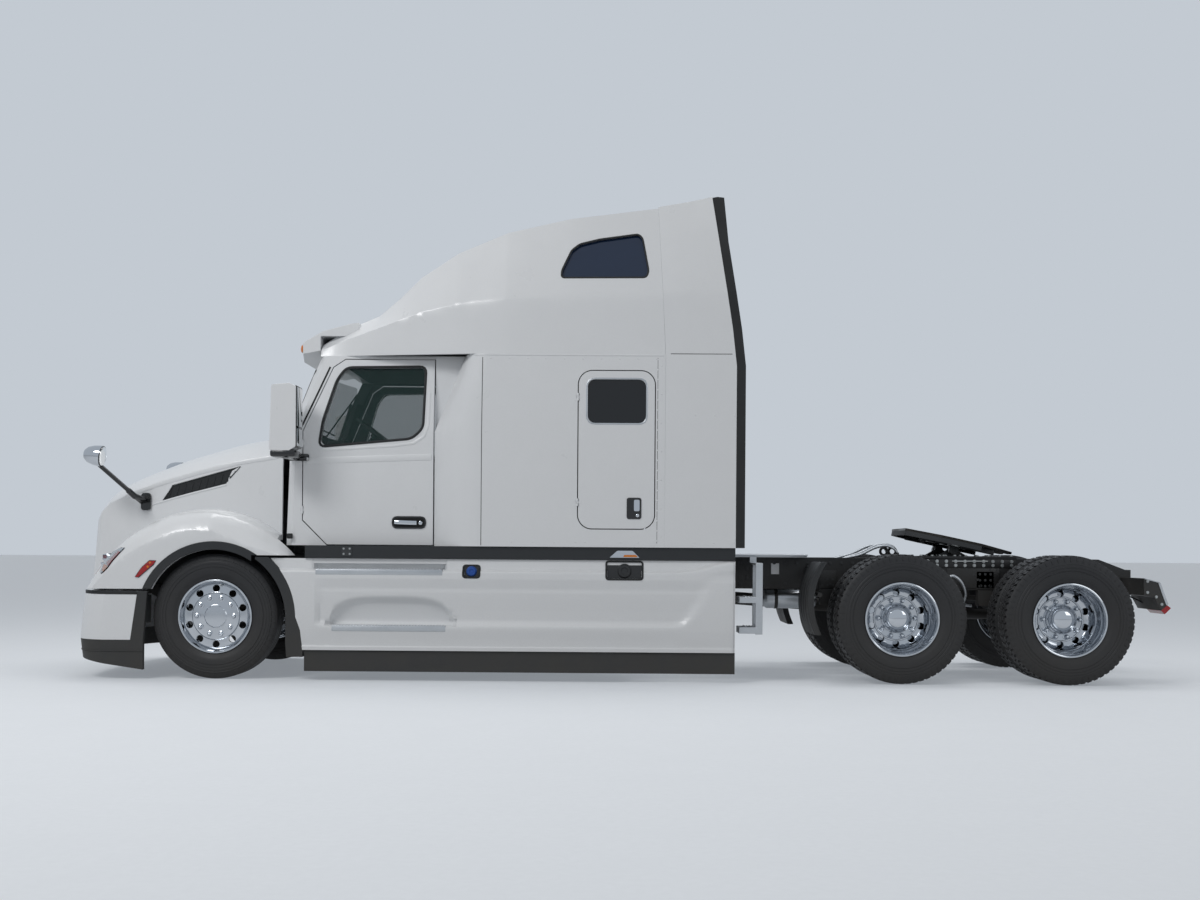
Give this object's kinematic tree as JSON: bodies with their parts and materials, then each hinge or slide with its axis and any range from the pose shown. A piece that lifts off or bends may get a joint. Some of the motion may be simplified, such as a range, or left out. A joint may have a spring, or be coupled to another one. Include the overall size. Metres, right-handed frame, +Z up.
{
  "type": "semi truck tractor unit",
  "caption": "Aerodynamic conventional truck tractor with a high-roof sleeper, tandem drive on twin wheels and a rocking fifth wheel; hood, doors, steering and wheels move.",
  "frame": {"origin": "on the ground, at the middle of the overall length and width", "axes": "+X forward, +Y left, +Z up"},
  "size_m": [8.8553, 2.88, 3.8681],
  "materials": {
    "white_paint": "gloss",
    "chassis_black": "satin",
    "engine_iron": "matte",
    "aluminium": "satin",
    "polished_aluminium": "polished",
    "black_plastic": "matte",
    "black_gloss": "gloss",
    "interior_plastic": "matte",
    "fifth_wheel_steel": "greased",
    "chrome_trim": "polished",
    "window_glass": "clear",
    "dark_glass": "tinted",
    "lamp_lens": "clear",
    "red_lens": "gloss",
    "edge_rubber": "matte",
    "tyre": "matte",
    "seat_cloth": "woven"
  },
  "bodies": {
    "chassis": {"frame_rails": "chassis_black", "crossmembers": "chassis_black", "engine_block": "engine_iron", "driveshaft": "chassis_black", "front_axle": "chassis_black", "front_springs": "chassis_black", "drive_axles": "chassis_black", "rear_suspension": "chassis_black", "fuel_tanks": "aluminium", "rear_deck": "aluminium", "quarter_fenders": "black_plastic", "fifth_wheel_base": "chassis_black", "tail_bar": "chassis_black", "tail_lamps": "red_lens", "bumper": "white_paint", "air_dam": "black_plastic", "cab_shell": "white_paint", "windshield": "window_glass", "visor": "white_paint", "cab_mirrors": "white_paint", "cab_interior": "interior_plastic", "seats": "seat_cloth", "sleeper_shell": "white_paint", "roof_fairing": "white_paint", "loft_windows": "dark_glass", "side_extenders": "white_paint", "extender_edges": "edge_rubber", "side_fairings": "white_paint", "sill_trim": "black_plastic"},
    "hood_body": {"hood": "white_paint", "grille": "chrome_trim", "headlamps": "lamp_lens", "arch_trims": "black_plastic", "hood_mirrors": "black_gloss"},
    "cab_door_left_body": {"cab_door_left": "white_paint", "door_glass_left": "window_glass"},
    "cab_door_right_body": {"cab_door_right": "white_paint", "door_glass_right": "window_glass"},
    "bunk_door_left_body": {"bunk_door_left": "white_paint", "bunk_glass_left": "dark_glass"},
    "bunk_door_right_body": {"bunk_door_right": "white_paint", "bunk_glass_right": "dark_glass"},
    "steer_left": {"knuckle_left": "chassis_black"},
    "steer_right": {"knuckle_right": "chassis_black"},
    "tie_rod_body": {"tie_rod": "chassis_black"},
    "steering_wheel_body": {"steering_wheel": "interior_plastic"},
    "fifth_wheel_body": {"fifth_wheel_plate": "fifth_wheel_steel"},
    "wheel_front_left": {"tyre_front_left": "tyre", "rim_front_left": "polished_aluminium"},
    "wheel_front_right": {"tyre_front_right": "tyre", "rim_front_right": "polished_aluminium"},
    "wheel_middle_left": {"tyre_middle_left": "tyre", "rim_middle_left": "polished_aluminium"},
    "wheel_middle_right": {"tyre_middle_right": "tyre", "rim_middle_right": "polished_aluminium"},
    "wheel_rear_left": {"tyre_rear_left": "tyre", "rim_rear_left": "polished_aluminium"},
    "wheel_rear_right": {"tyre_rear_right": "tyre", "rim_rear_right": "polished_aluminium"}
  },
  "joints": [
    {"name": "hood_tilt", "type": "hinge", "parent": "chassis", "child": "hood_body", "pos_m": [4.38475, 0, 0.7], "axis": [0, 1, 0], "range_deg": [0, 70]},
    {"name": "cab_door_left_swing", "type": "hinge", "parent": "chassis", "child": "cab_door_left_body", "pos_m": [2.54175, 1.078, 1.5], "axis": [0, 0, -1], "range_deg": [0, 68]},
    {"name": "cab_door_right_swing", "type": "hinge", "parent": "chassis", "child": "cab_door_right_body", "pos_m": [2.54175, -1.078, 1.5], "axis": [0, 0, 1], "range_deg": [0, 68]},
    {"name": "bunk_door_left_swing", "type": "hinge", "parent": "chassis", "child": "bunk_door_left_body", "pos_m": [0.34075, 1.223, 1.8], "axis": [0, 0, -1], "range_deg": [0, 85]},
    {"name": "bunk_door_right_swing", "type": "hinge", "parent": "chassis", "child": "bunk_door_right_body", "pos_m": [0.34075, -1.223, 1.8], "axis": [0, 0, 1], "range_deg": [0, 85]},
    {"name": "steer_left_turn", "type": "hinge", "parent": "chassis", "child": "steer_left", "pos_m": [3.21275, 0.86, 0.497], "axis": [0, 0, 1], "range_deg": [-45, 45]},
    {"name": "steer_right_turn", "type": "hinge", "parent": "chassis", "child": "steer_right", "pos_m": [3.21275, -0.86, 0.497], "axis": [0, 0, 1], "range_deg": [-45, 45]},
    {"name": "tie_rod_swing", "type": "hinge", "parent": "steer_left", "child": "tie_rod_body", "pos_m": [3.03275, 0.86, 0.368], "axis": [0, 0, 1], "range_deg": [-45, 45]},
    {"name": "steering_wheel_turn", "type": "hinge", "parent": "chassis", "child": "steering_wheel_body", "pos_m": [2.02275, 0.52, 1.99], "axis": [-0.6157, 0, 0.788], "range_deg": [-720, 720]},
    {"name": "fifth_wheel_rock", "type": "hinge", "parent": "chassis", "child": "fifth_wheel_body", "pos_m": [-2.82675, 0, 1.068], "axis": [0, 1, 0], "range_deg": [0, 20]},
    {"name": "wheel_front_left_spin", "type": "hinge", "parent": "steer_left", "child": "wheel_front_left", "pos_m": [3.21275, 1.03, 0.497], "axis": [0, 1, 0], "continuous": true},
    {"name": "wheel_middle_left_spin", "type": "hinge", "parent": "chassis", "child": "wheel_middle_left", "pos_m": [-2.22675, 0.906, 0.514], "axis": [0, 1, 0], "continuous": true},
    {"name": "wheel_rear_left_spin", "type": "hinge", "parent": "chassis", "child": "wheel_rear_left", "pos_m": [-3.54775, 0.906, 0.514], "axis": [0, 1, 0], "continuous": true},
    {"name": "wheel_front_right_spin", "type": "hinge", "parent": "steer_right", "child": "wheel_front_right", "pos_m": [3.21275, -1.03, 0.497], "axis": [0, 1, 0], "continuous": true},
    {"name": "wheel_middle_right_spin", "type": "hinge", "parent": "chassis", "child": "wheel_middle_right", "pos_m": [-2.22675, -0.906, 0.514], "axis": [0, 1, 0], "continuous": true},
    {"name": "wheel_rear_right_spin", "type": "hinge", "parent": "chassis", "child": "wheel_rear_right", "pos_m": [-3.54775, -0.906, 0.514], "axis": [0, 1, 0], "continuous": true}
  ],
  "couplings": [
    {"joint": "steer_right_turn", "follows": "steer_left_turn", "ratio": 1},
    {"joint": "tie_rod_swing", "follows": "steer_left_turn", "ratio": -1},
    {"joint": "steering_wheel_turn", "follows": "steer_left_turn", "ratio": 16}
  ]
}
